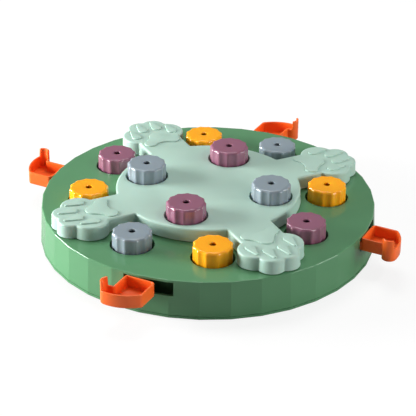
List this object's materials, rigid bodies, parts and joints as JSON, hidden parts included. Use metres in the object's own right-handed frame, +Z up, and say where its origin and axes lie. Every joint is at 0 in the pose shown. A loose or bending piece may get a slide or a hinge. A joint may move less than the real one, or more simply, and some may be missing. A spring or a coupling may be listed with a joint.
{
  "type": "dog puzzle feeder toy",
  "caption": "Round dog treat puzzle with a faceted base, a turning plate with paw-shaped arms, fluted lift-out pegs over wells and swing-out trays in the side.",
  "frame": {"origin": "on the axis of the turning plate, in the plane of the rubber feet (centre of the bounding box's bottom)", "axes": "+Z up along the turning plate's axis; the four trays lie about +X, +Y, -X and -Y and the four paws on the diagonals, 1.4 degrees off them"},
  "size_m": [0.3514, 0.3514, 0.06],
  "materials": {
    "green_plastic": "satin moulded",
    "mint_plastic": "satin moulded",
    "purple_plastic": "satin moulded",
    "grey_plastic": "satin moulded",
    "yellow_plastic": "satin moulded",
    "orange_plastic": "glossy moulded",
    "foot_rubber": "matt",
    "screw_steel": "plain"
  },
  "bodies": {
    "base": {"base_shell": "green_plastic", "slot_frames": "green_plastic", "top_plate": "green_plastic", "pivot_bosses": "green_plastic", "peg_wells": "green_plastic", "bottom_cover": "green_plastic", "rubber_feet": "foot_rubber", "cover_screws": "screw_steel", "pivot_pin_1": "screw_steel", "pivot_pin_2": "screw_steel", "pivot_pin_3": "screw_steel", "pivot_pin_4": "screw_steel"},
    "turntable": {"paw_plate": "mint_plastic", "paws": "mint_plastic", "paw_wells": "mint_plastic", "retaining_washer": "screw_steel", "axle_screw": "screw_steel"},
    "outer_peg_1": {"outer_peg_1": "purple_plastic"},
    "outer_peg_2": {"outer_peg_2": "yellow_plastic"},
    "outer_peg_3": {"outer_peg_3": "grey_plastic"},
    "outer_peg_4": {"outer_peg_4": "yellow_plastic"},
    "outer_peg_5": {"outer_peg_5": "purple_plastic"},
    "outer_peg_6": {"outer_peg_6": "yellow_plastic"},
    "outer_peg_7": {"outer_peg_7": "grey_plastic"},
    "outer_peg_8": {"outer_peg_8": "yellow_plastic"},
    "inner_peg_1": {"inner_peg_1": "grey_plastic"},
    "inner_peg_2": {"inner_peg_2": "purple_plastic"},
    "inner_peg_3": {"inner_peg_3": "grey_plastic"},
    "inner_peg_4": {"inner_peg_4": "purple_plastic"},
    "tray_1": {"tray_1": "orange_plastic"},
    "tray_2": {"tray_2": "orange_plastic"},
    "tray_3": {"tray_3": "orange_plastic"},
    "tray_4": {"tray_4": "orange_plastic"}
  },
  "joints": [
    {"name": "turntable_turn", "type": "hinge", "parent": "base", "child": "turntable", "pos_m": [0, 0, 0.035], "axis": [0, 0, 1], "range_deg": [-1.4, 4.2]},
    {"name": "outer_peg_1_lift", "type": "slide", "parent": "base", "child": "outer_peg_1", "axis": [0, 0, 1], "range_m": [0, 0.045]},
    {"name": "outer_peg_2_lift", "type": "slide", "parent": "base", "child": "outer_peg_2", "axis": [0, 0, 1], "range_m": [0, 0.045]},
    {"name": "outer_peg_3_lift", "type": "slide", "parent": "base", "child": "outer_peg_3", "axis": [0, 0, 1], "range_m": [0, 0.045]},
    {"name": "outer_peg_4_lift", "type": "slide", "parent": "base", "child": "outer_peg_4", "axis": [0, 0, 1], "range_m": [0, 0.045]},
    {"name": "outer_peg_5_lift", "type": "slide", "parent": "base", "child": "outer_peg_5", "axis": [0, 0, 1], "range_m": [0, 0.045]},
    {"name": "outer_peg_6_lift", "type": "slide", "parent": "base", "child": "outer_peg_6", "axis": [0, 0, 1], "range_m": [0, 0.045]},
    {"name": "outer_peg_7_lift", "type": "slide", "parent": "base", "child": "outer_peg_7", "axis": [0, 0, 1], "range_m": [0, 0.045]},
    {"name": "outer_peg_8_lift", "type": "slide", "parent": "base", "child": "outer_peg_8", "axis": [0, 0, 1], "range_m": [0, 0.045]},
    {"name": "inner_peg_1_lift", "type": "slide", "parent": "turntable", "child": "inner_peg_1", "axis": [0, 0, 1], "range_m": [0, 0.045]},
    {"name": "inner_peg_2_lift", "type": "slide", "parent": "turntable", "child": "inner_peg_2", "axis": [0, 0, 1], "range_m": [0, 0.045]},
    {"name": "inner_peg_3_lift", "type": "slide", "parent": "turntable", "child": "inner_peg_3", "axis": [0, 0, 1], "range_m": [0, 0.045]},
    {"name": "inner_peg_4_lift", "type": "slide", "parent": "turntable", "child": "inner_peg_4", "axis": [0, 0, 1], "range_m": [0, 0.045]},
    {"name": "tray_1_swing", "type": "hinge", "parent": "base", "child": "tray_1", "pos_m": [0.1395, -0.0218, 0.027], "axis": [0, 0, 1], "range_deg": [0, 100]},
    {"name": "tray_2_swing", "type": "hinge", "parent": "base", "child": "tray_2", "pos_m": [0.0218, 0.1395, 0.027], "axis": [0, 0, 1], "range_deg": [0, 100]},
    {"name": "tray_3_swing", "type": "hinge", "parent": "base", "child": "tray_3", "pos_m": [-0.1395, 0.0218, 0.027], "axis": [0, 0, 1], "range_deg": [0, 100]},
    {"name": "tray_4_swing", "type": "hinge", "parent": "base", "child": "tray_4", "pos_m": [-0.0218, -0.1395, 0.027], "axis": [0, 0, 1], "range_deg": [0, 100]}
  ]
}
